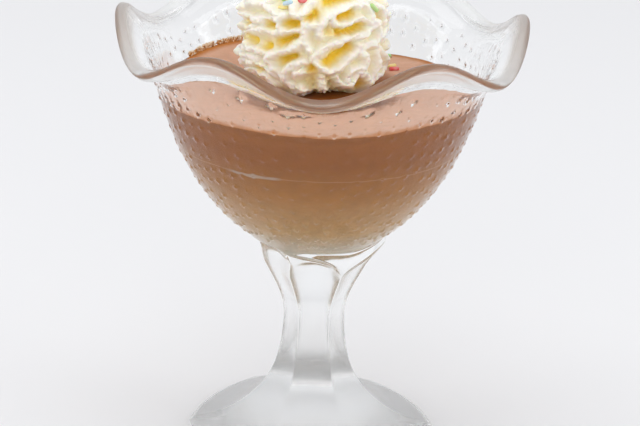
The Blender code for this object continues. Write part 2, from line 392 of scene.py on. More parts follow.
mousse_low, mousse_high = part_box("mousse")
MOUSSE_LEVEL = 0.1110
MOUSSE_CLIMB = 0.0030
CLIMB_ANGLE = math.radians(128)
CLIMB_SPREAD = math.radians(38)
RIGHT_CLIMB = 0.0012        # a lower smear at the front right
RIGHT_ANGLE = math.radians(-28)
RIGHT_SPREAD = math.radians(48)
SWELL = 0.0005
MOUSSE_TILT = 0.0174         # the surface rises this much towards the front, as it set
WALL_REACH = 0.0004         # how far the filling goes into the wall
SIDE_TOP = 0.0018           # the side's rings stop this far under the level, and the edge follows
MOUSSE_COLUMNS = 240
CREAM_PLACE = (-0.0020, 0.0085)
POUR_LEVEL = 0.0970         # where the second pour lies on the first
POUR_LINE = 0.00030         # half the height of the paler line there
POCKET_ANGLE = math.radians(-116)
POCKET_SPREAD = math.radians(13)
EDGE_RADIUS = 0.0458
DAMP_SHADE_IN = 0.0235            # the top is damp and coloured dark with painted shade this near the cream's middle, at the front right, under the cream's overhang
DAMP_SHADE_OUT = 0.0285
# the side runs from the mousse's own deep brown high up to paler colours low in the bowl, which are painted light
# from below and the haze of the thick glass
PAINTED_LIGHT_LOW_SIDE = (0.86, 0.76, 0.60)
PAINTED_LIGHT_MIDDLE_SIDE = ((0.22, (0.76, 0.48, 0.21)), (0.55, (0.56, 0.245, 0.045)), (0.80, (0.44, 0.145, 0.010)))
HIGH_SIDE = (0.43, 0.130, 0.008)
DRY_TOP = (0.64, 0.365, 0.245)
WET_EDGE = (0.52, 0.185, 0.040)
DAMP_AND_SHADE_TOP = (0.30, 0.10, 0.020)


def rolling(points, wavelength, seed, waves=18):
    """A smooth random field about 1 high, with bumps of this wavelength, at the points."""
    random = np.random.default_rng(seed)
    total = np.zeros(points.shape[:-1])
    for _ in range(waves):
        direction = random.normal(size=3)
        direction /= np.linalg.norm(direction)
        size = wavelength * random.uniform(0.75, 1.4)
        total += np.cos(points @ direction * (2 * math.pi / size) + random.uniform(0, 2 * math.pi))
    return total / math.sqrt(waves / 2) * 0.5


def mousse_top(x, y):
    """The surface: set nearly level, smeared up the wall on one side, and a little uneven."""
    radius = np.hypot(x, y)
    off = (np.arctan2(y, x) - CLIMB_ANGLE + math.pi) % (2 * math.pi) - math.pi
    right = (np.arctan2(y, x) - RIGHT_ANGLE + math.pi) % (2 * math.pi) - math.pi
    smears = MOUSSE_CLIMB * np.exp(-((off / CLIMB_SPREAD) ** 2))
    smears = smears + RIGHT_CLIMB * np.exp(-((right / RIGHT_SPREAD) ** 2))
    climb = smears * smooth_step((radius - 0.030) / 0.016)
    from_cream = np.hypot(x - CREAM_PLACE[0], y - CREAM_PLACE[1])
    swell = SWELL * np.sin(95 * x + 1.0) * np.cos(80 * y) * smooth_step(from_cream / 0.012 - 2.0)
    return MOUSSE_LEVEL - MOUSSE_TILT * y + climb + swell


def make_mousse():
    angle = np.arange(MOUSSE_COLUMNS) * (2 * math.pi / MOUSSE_COLUMNS)
    wall_up = inner_wall[::-1]
    side = along_line(wall_up[wall_up[:, 1] < MOUSSE_LEVEL - SIDE_TOP], 0.0006)
    rings = []
    slope = np.gradient(side, axis=0)
    slope /= np.hypot(slope[:, 0], slope[:, 1])[:, None]
    for (radius, height), (out, up) in zip(side, slope):
        rings.append(ring_at(angle, radius + WALL_REACH * up, height - WALL_REACH * out))
    edge_radius = np.interp(MOUSSE_LEVEL, wall_up[:, 1], wall_up[:, 0])
    edge = ring_at(angle, edge_radius, 0.0)
    level = mousse_top(edge[:, 0], edge[:, 1]) + 0.0001 * rolling(edge, 0.006, 3)
    wall = np.interp(level, wall_up[:, 1], wall_up[:, 0]) + WALL_REACH
    rings.append(ring_at(angle, wall, level))
    for share in np.concatenate([[0.991, 0.98], np.linspace(0.965, 0.05, 70)]):
        ring = ring_at(angle, wall * share, 0.0)
        ring[:, 2] = mousse_top(ring[:, 0], ring[:, 1]) + 0.00012 * rolling(ring, 0.005, 3)
        rings.append(ring)
    middle = float(mousse_top(np.array(0.0), np.array(0.0)))
    bottom = (0.0, 0.0, BOWL_BOTTOM - WALL_REACH)
    return closed_body("set_mousse", rings, bottom, (0.0, 0.0, middle))


def chocolate_mousse():
    """Paler where it is dry on top, deep where it wets the wall, lighter low in the bowl with painted light from
    below, and dark and damp round the cream's foot with painted shade.
    """
    material = bpy.data.materials.new("set_chocolate_mousse")
    material.use_nodes = True
    nodes, links = material.node_tree.nodes, material.node_tree.links
    shader = nodes["Principled BSDF"]
    place = nodes.new("ShaderNodeTexCoord")
    split = nodes.new("ShaderNodeSeparateXYZ")
    links.new(place.outputs["Object"], split.inputs["Vector"])

    def share_between(value, low, high):
        step = nodes.new("ShaderNodeMapRange")
        step.interpolation_type = "SMOOTHSTEP"
        step.inputs["From Min"].default_value = low
        step.inputs["From Max"].default_value = high
        links.new(value, step.inputs["Value"])
        return step.outputs["Result"]

    def calculated(operation, first, second):
        sum_of = nodes.new("ShaderNodeMath")
        sum_of.operation = operation
        for socket, value in zip(sum_of.inputs, (first, second)):
            if isinstance(value, float):
                socket.default_value = value
            else:
                links.new(value, socket)
        return sum_of.outputs["Value"]

    def laid_over(under, colour, share):
        mix = nodes.new("ShaderNodeMix")
        mix.data_type = "RGBA"
        links.new(under, mix.inputs["A"])
        mix.inputs["B"].default_value = (*colour, 1)
        links.new(share, mix.inputs["Factor"])
        return mix.outputs["Result"]

    def noise(scale, detail):
        pattern = nodes.new("ShaderNodeTexNoise")
        pattern.inputs["Scale"].default_value = scale
        pattern.inputs["Detail"].default_value = detail
        links.new(place.outputs["Object"], pattern.inputs["Vector"])
        return pattern.outputs["Fac"]

    # painted light: the side is coloured paler low in the bowl, for the light from below and the haze of the thick
    # glass
    height = nodes.new("ShaderNodeMapRange")
    height.inputs["From Min"].default_value = BOWL_BOTTOM
    height.inputs["From Max"].default_value = MOUSSE_LEVEL
    links.new(split.outputs["Z"], height.inputs["Value"])
    side = nodes.new("ShaderNodeValToRGB")
    side.color_ramp.elements[0].color = (*PAINTED_LIGHT_LOW_SIDE, 1)
    side.color_ramp.elements[1].color = (*HIGH_SIDE, 1)
    for position, colour in PAINTED_LIGHT_MIDDLE_SIDE:
        side.color_ramp.elements.new(position).color = (*colour, 1)
    links.new(height.outputs["Result"], side.inputs["Fac"])

    ripple = calculated("MULTIPLY", noise(60.0, 3.0), 0.0018)
    above = calculated("SUBTRACT", calculated("SUBTRACT", split.outputs["Z"], POUR_LEVEL - 0.0009), ripple)
    pour = share_between(calculated("ABSOLUTE", above, 0.0), POUR_LINE, 0.0)
    round_wall = calculated("ARCTAN2", split.outputs["Y"], split.outputs["X"])
    from_pocket = calculated("ABSOLUTE", calculated("SUBTRACT", round_wall, POCKET_ANGLE), 0.0)
    pocket = calculated("MULTIPLY", share_between(from_pocket, POCKET_SPREAD, 0.6 * POCKET_SPREAD),
                        share_between(calculated("ABSOLUTE", above, 0.0), 2.2 * POUR_LINE, POUR_LINE))
    lined = laid_over(side.outputs["Color"], (0.66, 0.38, 0.17), calculated("MULTIPLY", pour, 0.55))
    lined = laid_over(lined, (0.66, 0.54, 0.42), calculated("MULTIPLY", pocket, 0.7))

    out = nodes.new("ShaderNodeVectorMath")
    out.operation = "MULTIPLY"
    out.inputs[1].default_value = (1.0, 1.0, 0.0)
    links.new(place.outputs["Object"], out.inputs[0])
    radius = nodes.new("ShaderNodeVectorMath")
    radius.operation = "LENGTH"
    links.new(out.outputs["Vector"], radius.inputs[0])
    near_wall = share_between(radius.outputs["Value"], EDGE_RADIUS - 0.0030, EDGE_RADIUS)
    dry = nodes.new("ShaderNodeRGB")
    dry.outputs["Color"].default_value = (*DRY_TOP, 1)
    top = laid_over(dry.outputs["Color"], WET_EDGE, near_wall)

    off = nodes.new("ShaderNodeVectorMath")
    off.operation = "SUBTRACT"
    off.inputs[1].default_value = (*CREAM_PLACE, 0.0)
    links.new(out.outputs["Vector"], off.inputs[0])
    from_cream = nodes.new("ShaderNodeVectorMath")
    from_cream.operation = "LENGTH"
    links.new(off.outputs["Vector"], from_cream.inputs[0])
    # the top darkens round the cream's front right foot: damp there, and painted shade from the cream's overhang
    uneven = calculated("MULTIPLY", noise(220.0, 2.0), 0.0030)
    damp_and_shade = share_between(calculated("ADD", from_cream.outputs["Value"], uneven), DAMP_SHADE_OUT, DAMP_SHADE_IN)
    facing = nodes.new("ShaderNodeVectorMath")
    facing.operation = "DOT_PRODUCT"
    facing.inputs[1].default_value = (0.6, -0.8, 0.0)
    links.new(off.outputs["Vector"], facing.inputs[0])
    damp_and_shade = calculated("MULTIPLY", damp_and_shade, share_between(facing.outputs["Value"], -0.012, 0.016))
    top = laid_over(top, DAMP_AND_SHADE_TOP, damp_and_shade)

    upward = nodes.new("ShaderNodeNewGeometry")
    normal = nodes.new("ShaderNodeSeparateXYZ")
    links.new(upward.outputs["Normal"], normal.inputs["Vector"])
    both = nodes.new("ShaderNodeMix")
    both.data_type = "RGBA"
    links.new(share_between(normal.outputs["Z"], 0.35, 0.75), both.inputs["Factor"])
    links.new(lined, both.inputs["A"])
    links.new(top, both.inputs["B"])
    tone = nodes.new("ShaderNodeMapRange")
    tone.inputs["To Min"].default_value = 0.84
    tone.inputs["To Max"].default_value = 1.16
    links.new(noise(260.0, 6.0), tone.inputs["Value"])
    toned = nodes.new("ShaderNodeVectorMath")
    toned.operation = "SCALE"
    links.new(both.outputs["Result"], toned.inputs[0])
    links.new(tone.outputs["Result"], toned.inputs["Scale"])
    links.new(toned.outputs["Vector"], shader.inputs["Base Color"])
    shader.inputs["Roughness"].default_value = 0.55
    shader.inputs["Specular IOR Level"].default_value = 0.2
    shader.inputs["Subsurface Weight"].default_value = 0.15
    shader.inputs["Subsurface Radius"].default_value = (1.0, 0.5, 0.3)
    shader.inputs["Subsurface Scale"].default_value = 0.002
    bubbles = nodes.new("ShaderNodeTexVoronoi")
    bubbles.inputs["Scale"].default_value = 900.0
    links.new(place.outputs["Object"], bubbles.inputs["Vector"])
    bump = nodes.new("ShaderNodeBump")
    bump.inputs["Strength"].default_value = 0.25
    bump.inputs["Distance"].default_value = 0.0004
    links.new(bubbles.outputs["Distance"], bump.inputs["Height"])
    links.new(bump.outputs["Normal"], shader.inputs["Normal"])
    return material


mousse = make_mousse()
mousse.data.materials.append(chocolate_mousse())
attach(mousse, "root")
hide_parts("mousse")


# ---------------------------------------------------------------- the dried edge
# At the back left the mousse was smeared a little up the wall as it was filled. The smear dried to
# a ragged line of dark crumbs, with specks of pale foam between them.

SMEAR_FROM, SMEAR_TO = math.radians(94), math.radians(150)


def blob(points, faces, middle, girth, random):
    """One crumb: a rough ball of 6 x 4 faces, stretched along the wall."""
    start = len(points)
    rows, sides = 4, 6
    for row in range(rows + 1):
        tilt = math.pi * (row + 0.12) / (rows + 0.24)
        for side in range(sides):
            turn = 2 * math.pi * side / sides
            size = girth * random.uniform(0.75, 1.25)
            points.append((middle[0] + size * math.sin(tilt) * math.cos(turn),
                           middle[1] + size * math.sin(tilt) * math.sin(turn),
                           middle[2] + 0.8 * size * math.cos(tilt)))
    for row in range(rows):
        for side in range(sides):
            low, beside = start + row * sides, (side + 1) % sides
            faces.append((low + side, low + sides + side, low + sides + beside, low + beside))
    faces.append(tuple(start + side for side in range(sides)))
    faces.append(tuple(start + rows * sides + side for side in reversed(range(sides))))


def make_crumbs(name, count, seed, lowest, highest, smallest, biggest):
    random = np.random.default_rng(seed)
    wall_up = inner_wall[::-1]
    points = []
    faces = []
    for _ in range(count):
        angle = random.uniform(SMEAR_FROM, SMEAR_TO)
        if math.sin(angle * 23 + seed) + 0.6 * math.sin(angle * 61) < random.uniform(-1.5, 0.3):
            continue
        radius = 0.0465
        edge = float(mousse_top(np.array(radius * math.cos(angle)), np.array(radius * math.sin(angle))))
        height = edge + random.uniform(lowest, highest)
        girth = random.uniform(smallest, biggest)
        wall = np.interp(height, wall_up[:, 1], wall_up[:, 0]) - 0.35 * girth
        blob(points, faces, (wall * math.cos(angle), wall * math.sin(angle), height), girth, random)
    mesh = bpy.data.meshes.new(name)
    mesh.from_pydata(points, [], faces)
    mesh.shade_smooth()
    crumbs = bpy.data.objects.new(name, mesh)
    bpy.context.scene.collection.objects.link(crumbs)
    return crumbs


def dried(name, dark, light):
    material = bpy.data.materials.new(name)
    material.use_nodes = True
    nodes, links = material.node_tree.nodes, material.node_tree.links
    shader = nodes["Principled BSDF"]
    place = nodes.new("ShaderNodeTexCoord")
    patches = nodes.new("ShaderNodeTexNoise")
    patches.inputs["Scale"].default_value = 700.0
    links.new(place.outputs["Object"], patches.inputs["Vector"])
    tone = nodes.new("ShaderNodeValToRGB")
    tone.color_ramp.elements[0].position = 0.35
    tone.color_ramp.elements[0].color = (*dark, 1)
    tone.color_ramp.elements[1].position = 0.65
    tone.color_ramp.elements[1].color = (*light, 1)
    links.new(patches.outputs["Fac"], tone.inputs["Fac"])
    links.new(tone.outputs["Color"], shader.inputs["Base Color"])
    shader.inputs["Roughness"].default_value = 0.6
    return material


crumbs = make_crumbs("dried_crumbs", 900, 51, -0.0001, 0.0011, 0.00020, 0.00042)
crumbs.data.materials.append(dried("dried_mousse", (0.36, 0.11, 0.015), (0.72, 0.34, 0.09)))
foam = make_crumbs("foam_specks", 700, 52, 0.0001, 0.0015, 0.00022, 0.00042)
foam.data.materials.append(dried("dried_foam", (0.80, 0.58, 0.36), (0.93, 0.84, 0.70)))
for bits in (crumbs, foam):
    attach(bits, "root")


# ---------------------------------------------------------------- the whipped cream
# Dairy cream piped through a star nozzle in one rising swirl. The star's ridges fold over as the rope is laid, and
# leave slanting frilled folds with deep slots between; painted shade and glow colour the slots yellow inside.

cream_low, cream_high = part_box("whipped_cream")
CREAM_HEIGHT = 0.0460
CREAM_RADIUS = 0.0210
CREAM_COLUMNS = 450
CREAM_ROWS = 205
FOLD_RISE = 0.0030          # of a fold over the swirl's body
FOLD_WIDTH = 1.45           # from its crest to halfway down, in mm
FOLD_SINK = 0.0013          # of the body under the swirl's outline
SLOT_DEPTH = 0.0026
SLOT_WIDTH = 1.2
SINK = 0.0004               # how far the base is pressed into the mousse

# Folds and slots of the front, each a line of (degrees round from the front, mm above the mousse).
FRONT_FOLDS = (
    [(-9, 17.4), (-22, 14.3), (-38, 12), (-40, 10.3), (-35, 8.6), (-28, 7)],
    [(-24, 5.5), (-24, 7.4), (-17, 10.2), (-10, 11.2), (-6, 10), (-8, 8.5), (-15, 7)],
    [(-90, 12.4), (-81, 13.3), (-67, 16.2), (-53, 18.5), (-32, 19.2)],
    [(-92, 10), (-70, 11.2), (-55, 12.2), (-44, 12)],
    [(-92, 8), (-75, 8.2), (-62, 9.5), (-51, 9.3)],
    [(-28, 24.2), (-31, 20.6), (-26, 19.4), (-14, 20.4), (-3, 22.2), (4, 21.6)],
    [(-9, 22.4), (-10, 19.5), (-9, 17.4), (-4, 15)],
    [(-21, 27.5), (-20, 25.4), (-14, 24.6), (-8, 26.4), (-4, 28.5)],
    [(6, 9.2), (0, 11.2), (0, 13.3), (6, 14.9), (15, 16.7), (25, 17.9), (38, 18.3), (47, 19.5), (57, 21.4)],
    [(6, 9.2), (12, 8.4), (19, 9.2), (25, 10.9), (30, 13), (37, 14)],
    [(37, 14), (44, 12.1), (45, 10.3), (41, 8.8), (30, 7.9), (28, 5.5)],
    [(13, 20), (5, 19.4), (4, 21.8), (8, 23.9), (15, 26), (27, 27.1), (42, 27.7), (53, 28.2)],
    [(16, 26), (15, 23), (22, 21.9), (31, 22.6), (41, 23.3), (48, 21.6), (57, 21.4)],
    [(18, 6.2), (24, 4), (31, 3.8)],
    [(34, 5.1), (38, 7.2), (47, 5.4), (53, 2.8), (54, 1)],
    [(-20, 3.8), (-16, 1.8), (-10, 3.2), (-7, 1.4)],
    [(-26, 6.1), (-24, 4.1), (-18, 3.3)],
    [(-92, 4.8), (-75, 6.4), (-57, 8), (-46, 7.8), (-37, 7.2), (-32, 5.9)],
    [(-80, 3), (-62, 5.2), (-51, 5.8), (-44, 5.2), (-36, 3)],
    [(61, 26.1), (70, 24.2), (88, 20.6), (92, 17), (67, 15.9), (54, 15.6), (42, 15.2)],
    [(47, 27.8), (54, 25), (52, 22.7)],
    [(39, 15), (50, 15.5), (63, 12.9), (72, 9.4), (84, 6), (70, 3.8), (54, 4.2)],
    [(74, 22), (76, 18), (70, 15)],
    [(62, 21), (64, 18), (60, 15.5)],
    [(58, 12), (60, 8), (56, 5)],
    [(6, 6.4), (8, 4), (9, 1.6)],
    [(-96, 20.6), (-84, 23), (-68, 25.4), (-54, 26.1), (-46, 27.5)],
    [(-92, 19.4), (-61, 20.9), (-49, 21.5), (-39, 22.3), (-31, 23.2)],
    [(-92, 16), (-76, 17.4), (-63, 18.6)],
    [(-46, 26), (-38, 24.5), (-33, 24.3)],
)
FRONT_SLOTS = (
    [(-26, 11.2), (-18, 12.4)],
    [(-30, 16.4), (-21, 17.6), (-15, 18.7)],
    [(-25, 21.9), (-17, 22.4)],
    [(-42, 20.6), (-37, 21)],
    [(-46, 13.8), (-42, 14.2)],
    [(-6, 24.4), (-2, 25.6)],
    [(20, 24.3), (31, 25.1)],
    [(10, 20), (17, 20.2), (30, 20.6), (41, 21.3)],
    [(10, 11.4), (16, 13), (23, 14.5), (30, 15.4)],
    [(-5, 9), (-1, 9.6)],
    [(11, 28.6), (22, 29.4), (36, 30)],
    [(-76, 18.4), (-69, 19.2)],
    [(-51, 7), (-48, 7)],
    [(41, 4), (45, 3)],
    [(-76, 14.6), (-62, 15)],
    [(60, 23), (66, 21)],
)
# Ragged tips that stand out past the outline, as (degrees, mm up, mm out, mm wide).
TIPS = (
    (-92, 21.3, 2.2, 1.9), (-90, 16, 1.5, 1.5), (-90, 8.2, 1.5, 1.7), (-88, 4.8, 0.9, 1.5),
    (-40, 11, 0.8, 1.6), (56, 21.4, 1.2, 1.7), (45, 11, 0.7, 1.5), (88, 20.6, 1.0, 2.2),
    (-15, 25, 0.8, 1.4), (-9, 1.8, 1.0, 1.3),
    (-30, 20.6, 0.6, 1.4), (27, 4, 0.8, 1.3), (52, 3, 0.8, 1.5),
)
UNDERCUT = [(-4, 4.6), (6, 5.6), (17, 4.4)]
LIFTED_EDGE = [(-3, 0), (34, 0)]


def swirl_radius(share):
    return CREAM_RADIUS * np.interp(share, [0.0, 0.06, 0.18, 0.55, 0.72, 0.88, 0.97, 1.0],
                                    [0.80, 0.93, 1.0, 0.93, 0.70, 0.36, 0.15, 0.10])


def fold_lines():
    """The front's own folds and slots, and others like them spread over the rest of the swirl."""
    random = np.random.default_rng(11)
    folds = list(FRONT_FOLDS)
    slots = list(FRONT_SLOTS)
    for tier, level in enumerate(np.arange(2.0, 44.0, 7.2)):
        count = 9 if level < 30 else 6
        for turn in np.arange(count) * 360 / count + tier * 17:
            turn = (turn + random.uniform(-5, 5) + 180) % 360 - 180
            start = level + random.uniform(-0.9, 0.9)
            if -92 < turn < 84 and start < 27:
                continue
            reach = 360 / count
            low = (turn - 2, start + 1.2)
            folds.append([low, (turn + 0.35 * reach, start + 4.4), (turn + reach, start + 7.6)])
            folds.append([low, (turn + 0.25 * reach, start), (turn + 0.8 * reach, start + 3.4)])
            slots.append([(turn + 0.13 * reach, start + 1.9), (turn + 0.6 * reach, start + 4.4)])
    return folds, slots


def line_distance(turn, level, radius, line):
    """How far, in mm, each place on the unrolled swirl is from a line on it."""
    nearest = np.full(turn.shape, 99.0)
    step = radius * 1000 * math.pi / 180
    for (turn_a, level_a), (turn_b, level_b) in zip(line, line[1:]):
        away = ((turn - turn_a + 180) % 360 - 180) * step
        across = (turn_b - turn_a) * step
        rise = level_b - level_a
        share = np.clip((away * across + (level - level_a) * rise) / (across**2 + rise**2 + 1e-9), 0, 1)
        nearest = np.minimum(nearest, np.hypot(away - share * across, level - level_a - share * rise))
    return nearest


def make_cream():
    share = np.linspace(0.0, 1.0, CREAM_ROWS)[:, None] + np.zeros(CREAM_COLUMNS)
    turn = np.arange(CREAM_COLUMNS) * 360 / CREAM_COLUMNS - 180 + np.zeros((CREAM_ROWS, 1))
    level = share * CREAM_HEIGHT * 1000
    radius = swirl_radius(share)
    around = np.radians(turn - 90)
    body = np.stack([radius * np.cos(around), radius * np.sin(around), share * CREAM_HEIGHT], 2)
    wander = 0.30 * rolling(body, 0.0050, 21)
    stray = 1.2 * rolling(body, 0.0055, 22)
    folds, slots = fold_lines()
    crest = np.zeros(share.shape)
    for line in folds:
        off = line_distance(turn + stray, level + wander, radius, line)
        crest = np.maximum(crest, 1 / (1 + (off / FOLD_WIDTH) ** 3.2))
    slot = np.zeros(share.shape)
    for line in slots:
        off = line_distance(turn + stray, level + wander, radius, line)
        slot = np.maximum(slot, np.exp(-((off / SLOT_WIDTH) ** 2)))
    tips = np.zeros(share.shape)
    for tip_turn, tip_level, out, width in TIPS:
        off = line_distance(turn, level, radius, [(tip_turn, tip_level), (tip_turn + 4, tip_level)])
        tips = tips + out / 1000 * np.exp(-((off / width) ** 2))
    under = np.exp(-((line_distance(turn, level, radius, UNDERCUT) / 2.6) ** 2))
    torn = line_distance(turn, level, radius, LIFTED_EDGE) + 0.9 * rolling(body, 0.0017, 28)
    lifted = smooth_step(1.2 - torn / 2.4)
    thin = np.clip(radius / 0.016, 0.25, 1.0)
    froth = 0.22 * rolling(body, 0.0033, 23) + 0.10 * rolling(body, 0.0012, 24)
    relief = FOLD_RISE * crest * (1 + 0.55 * froth) - FOLD_SINK + 0.0004 * froth
    relief = relief - SLOT_DEPTH * slot * (1 - 0.35 * crest) + tips
    relief = relief * thin - 0.0026 * under * (1 - 0.7 * crest) - 0.0038 * lifted
    relief = relief + 0.0007 * under * rolling(body, 0.0020, 27)
    radii = np.maximum(radius + relief, 0.0006)
    lift = 0.0006 * crest * thin * smooth_step(level / 3.0)
    edge = 0.0002 * rolling(body, 0.0016, 25) * smooth_step(level / 2.0)
    x = CREAM_PLACE[0] + radii * np.cos(around)
    y = CREAM_PLACE[1] + radii * np.sin(around)
    base = MOUSSE_LEVEL - MOUSSE_TILT * y - SINK
    heights = base + level / 1000 + lift + edge + 0.0006 * thin
    ragged = 0.0011 * rolling(body[:1], 0.0019, 26) * smooth_step(1.3 - np.abs(turn[:1] - 14) / 26)
    heights[0] = base[0] + np.maximum(ragged[0] + 0.0006 * lifted[0], 0.0)
    rings = np.stack([x, y, heights], 2)
    bottom = (*CREAM_PLACE, MOUSSE_LEVEL - MOUSSE_TILT * CREAM_PLACE[1] - SINK)
    peak = (*CREAM_PLACE, heights[-1].mean() + 0.0012)
    cream = closed_body("piped_cream", rings, bottom, peak)
    depth = cream.data.attributes.new("painted_hollow_shade", "FLOAT", "POINT")
    # painted shade and glow: the slots, the valleys between folds and the undercut get a darker, yellower colour
    hollow_shade_share = np.clip(1.15 * slot * (1 - 0.5 * crest) + 0.10 * under + 0.34 * (1 - crest), 0, 1)
    values = np.concatenate([[0.0], hollow_shade_share.ravel(), [0.0]]).astype(np.float32)
    depth.data.foreach_set("value", values)
    return cream


def whipped_cream():
    """Ivory cream that light goes into, with painted shade and glow, darker and yellower, down in the slots and
    valleys, and a fine curdled grain.
    """
    material = bpy.data.materials.new("piped_whipped_cream")
    material.use_nodes = True
    nodes, links = material.node_tree.nodes, material.node_tree.links
    shader = nodes["Principled BSDF"]
    depth = nodes.new("ShaderNodeAttribute")
    depth.attribute_name = "painted_hollow_shade"
    # painted shade and glow: the ramp runs from the cream's own ivory to dark yellow in the slots
    colour = nodes.new("ShaderNodeValToRGB")
    colour.color_ramp.elements[0].color = (0.90, 0.87, 0.79, 1)
    colour.color_ramp.elements[1].color = (0.97, 0.72, 0.09, 1)
    colour.color_ramp.elements.new(0.20).color = (0.89, 0.83, 0.64, 1)
    colour.color_ramp.elements.new(0.42).color = (0.89, 0.76, 0.40, 1)
    links.new(depth.outputs["Fac"], colour.inputs["Fac"])
    links.new(colour.outputs["Color"], shader.inputs["Base Color"])
    shader.inputs["Subsurface Weight"].default_value = 0.6
    shader.inputs["Subsurface Radius"].default_value = (1.0, 0.75, 0.4)
    shader.inputs["Subsurface Scale"].default_value = 0.0009
    place = nodes.new("ShaderNodeTexCoord")
    grain = nodes.new("ShaderNodeTexNoise")
    grain.inputs["Scale"].default_value = 1300.0
    grain.inputs["Detail"].default_value = 5.0
    links.new(place.outputs["Object"], grain.inputs["Vector"])
    bump = nodes.new("ShaderNodeBump")
    bump.inputs["Strength"].default_value = 0.35
    bump.inputs["Distance"].default_value = 0.0005
    links.new(grain.outputs["Fac"], bump.inputs["Height"])
    links.new(bump.outputs["Normal"], shader.inputs["Normal"])
    gloss = nodes.new("ShaderNodeMapRange")
    gloss.inputs["To Min"].default_value = 0.38
    gloss.inputs["To Max"].default_value = 0.60
    links.new(grain.outputs["Fac"], gloss.inputs["Value"])
    links.new(gloss.outputs["Result"], shader.inputs["Roughness"])
    return material


cream = make_cream()
cream.data.materials.append(whipped_cream())
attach(cream, "root")
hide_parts("whipped_cream")


# ---------------------------------------------------------------- the sugar strands
# Pressed sugar strands in four colours, scattered over the top by hand. Each is a short rod with
# rounded ends. They lie half sunk in the cream, and on the mousse at the right.

STRAND_LENGTH = 0.0032
STRAND_RADIUS = 0.00062
STRAND_SIDES = 16
# Where each lies: on the cream as (degrees round, mm up), on the mousse as (mm right, mm back); and
# the way it points in that surface, in degrees.
STRANDS_ON_CREAM = {
    "green": ((-33, 29.5, 60), (54, 26.3, -60), (-12, 36.5, 15), (30, 33.5, 80), (140, 27, 30)),
    "yellow": ((-31, 26.6, 8), (8, 37, 100), (-70, 32, 50), (200, 31, 10)),
    "red": ((-13, 28.7, 5), (-52, 36, 120), (66, 34, 20), (165, 36, 70)),
    "blue": ((-25, 28.3, 25), (20, 40, 40), (-100, 29, 100), (110, 36, 15)),
}
STRANDS_ON_MOUSSE = {
    "green": ((20.1, 37.6, -22),),
    "yellow": ((21.7, 26.1, 40),),
    "red": ((22.3, 23.0, 10),),
    "blue": (),
}
STRAND_COLOURS = {
    "green": (0.42, 0.66, 0.18),
    "yellow": (0.88, 0.72, 0.22),
    "red": (0.78, 0.045, 0.050),
    "blue": (0.50, 0.68, 0.80),
}


def strand_points(middle, along, upward, random):
    """Rings of one rod, from end to end, a little bent and uneven."""
    beside = upward.cross(along).normalized()
    half = 0.5 * STRAND_LENGTH * random.uniform(0.88, 1.1)
    thick = STRAND_RADIUS * random.uniform(0.92, 1.1)
    bend = random.uniform(-0.00012, 0.00012)
    points = []
    for place in (-1.0, -0.93, -0.82, -0.66, -0.3, 0.0, 0.3, 0.66, 0.82, 0.93, 1.0):
        to_end = (1 - abs(place)) * half / thick
        girth = thick * math.sqrt(max(0.02, 1 - max(0.0, 1 - to_end) ** 2.4))
        centre = middle + along * (half * place) + beside * (bend * (1 - place * place))
        for turn in np.arange(STRAND_SIDES) * (2 * math.pi / STRAND_SIDES):
            points.append(centre + (beside * math.cos(turn) + upward * math.sin(turn)) * girth)
    return points


def cream_spot(turn, level):
    """The place on the cream's outside this far round and up, and the way it faces."""
    around = math.radians(turn - 90)
    outward = Vector((math.cos(around), math.sin(around), 0.0))
    base = MOUSSE_LEVEL - MOUSSE_TILT * (CREAM_PLACE[1] + CREAM_RADIUS * outward.y)
    start = Vector((*CREAM_PLACE, base + level / 1000)) + outward * 0.05
    spot, faces, _, _ = cream_surface.ray_cast(start, -outward)
    return spot, faces


def make_strands(colour):
    random = np.random.default_rng(sorted(STRAND_COLOURS).index(colour) + 40)
    lying = []
    for turn, level, points_to in STRANDS_ON_CREAM[colour]:
        spot, faces = cream_spot(turn, level)
        outward = (faces * 0.5 + Vector((math.cos(math.radians(turn - 90)),
                                         math.sin(math.radians(turn - 90)), 0.5))).normalized()
        level_way = Vector((0, 0, 1)).cross(outward).normalized()
        lying.append((spot, outward, level_way, points_to))
    for right, back, points_to in STRANDS_ON_MOUSSE[colour]:
        height = float(mousse_top(np.array(right / 1000), np.array(back / 1000)))
        lying.append((Vector((right / 1000, back / 1000, height)), Vector((0, 0, 1)), Vector((1, 0, 0)), points_to))
    points = []
    faces = []
    for spot, outward, level_way, points_to in lying:
        upright = outward.cross(level_way)
        turn = math.radians(points_to)
        along = level_way * math.cos(turn) + upright * math.sin(turn)
        start = len(points)
        points += strand_points(spot + outward * (0.75 * STRAND_RADIUS), along, outward, random)
        for ring in range(10):
            for side in range(STRAND_SIDES):
                beside = (side + 1) % STRAND_SIDES
                low = start + ring * STRAND_SIDES
                faces.append((low + side, low + beside, low + STRAND_SIDES + beside, low + STRAND_SIDES + side))
        faces.append(tuple(start + side for side in reversed(range(STRAND_SIDES))))
        faces.append(tuple(start + 10 * STRAND_SIDES + side for side in range(STRAND_SIDES)))
    mesh = bpy.data.meshes.new(colour + "_sugar_strands")
    mesh.from_pydata([tuple(point) for point in points], [], faces)
    mesh.shade_smooth()
    strands = bpy.data.objects.new(mesh.name, mesh)
    bpy.context.scene.collection.objects.link(strands)
    return strands


